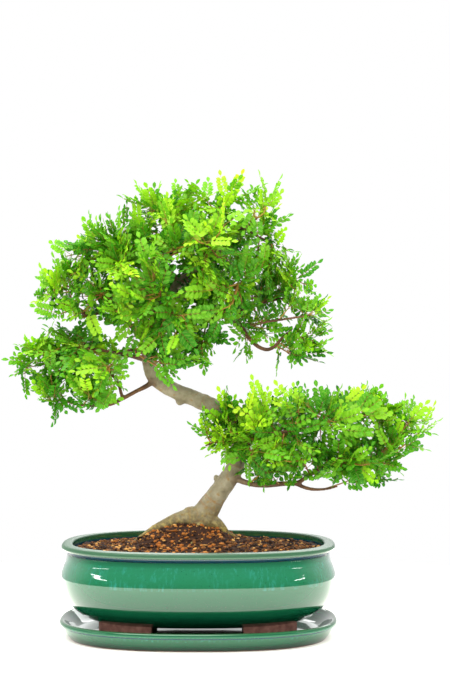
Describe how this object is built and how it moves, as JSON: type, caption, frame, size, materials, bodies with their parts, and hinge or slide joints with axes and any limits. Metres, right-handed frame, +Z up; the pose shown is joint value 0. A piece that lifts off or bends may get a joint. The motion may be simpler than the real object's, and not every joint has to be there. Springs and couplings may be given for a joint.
{
  "type": "potted bonsai tree",
  "caption": "Pepper-tree bonsai with an S-shaped trunk and tiers of small feathered leaves, growing in an oval glazed pot on a matching drip tray.",
  "frame": {"origin": "centre of the drip tray's flat underside, on the surface the object stands on", "axes": "+Z up along the tree, +X along the pot's long side towards the tree's low right pad, -Y towards the side the tree is looked at from"},
  "size_m": [0.4837, 0.2383, 0.5084],
  "materials": {
    "glaze": "gloss",
    "bark": "matte",
    "leaf": "satin",
    "soil": "matte",
    "screen": "matte",
    "wire": "satin"
  },
  "bodies": {
    "root": {"drip_tray": "glaze", "pot": "glaze", "drain_screen_left": "screen", "drain_screen_right": "screen", "screen_clip_left": "wire", "screen_clip_right": "wire", "soil": "soil", "trunk_and_branches": "bark", "crown_spray_01": "leaf", "crown_spray_02": "leaf", "crown_spray_03": "leaf", "crown_spray_04": "leaf", "crown_spray_05": "leaf", "crown_spray_06": "leaf", "crown_spray_07": "leaf", "crown_spray_08": "leaf", "crown_spray_09": "leaf", "crown_spray_10": "leaf", "crown_spray_11": "leaf", "crown_spray_12": "leaf", "crown_spray_13": "leaf", "crown_spray_14": "leaf", "crown_spray_15": "leaf", "crown_spray_16": "leaf", "crown_spray_17": "leaf", "crown_spray_18": "leaf", "crown_spray_19": "leaf", "crown_spray_20": "leaf", "crown_spray_21": "leaf", "crown_spray_22": "leaf", "crown_spray_23": "leaf", "crown_spray_24": "leaf", "crown_spray_25": "leaf", "crown_spray_26": "leaf", "crown_spray_27": "leaf", "crown_spray_28": "leaf", "crown_spray_29": "leaf", "left_spray_01": "leaf", "left_spray_02": "leaf", "left_spray_03": "leaf", "left_spray_04": "leaf", "left_spray_05": "leaf", "left_spray_06": "leaf", "left_spray_07": "leaf", "right_spray_01": "leaf", "right_spray_02": "leaf", "right_spray_03": "leaf", "right_spray_04": "leaf", "right_spray_05": "leaf", "right_spray_06": "leaf", "right_spray_07": "leaf", "right_spray_08": "leaf", "right_spray_09": "leaf", "right_spray_10": "leaf", "right_spray_11": "leaf", "right_spray_12": "leaf", "right_spray_13": "leaf", "right_spray_14": "leaf", "right_spray_15": "leaf", "right_spray_16": "leaf"}
  },
  "joints": []
}
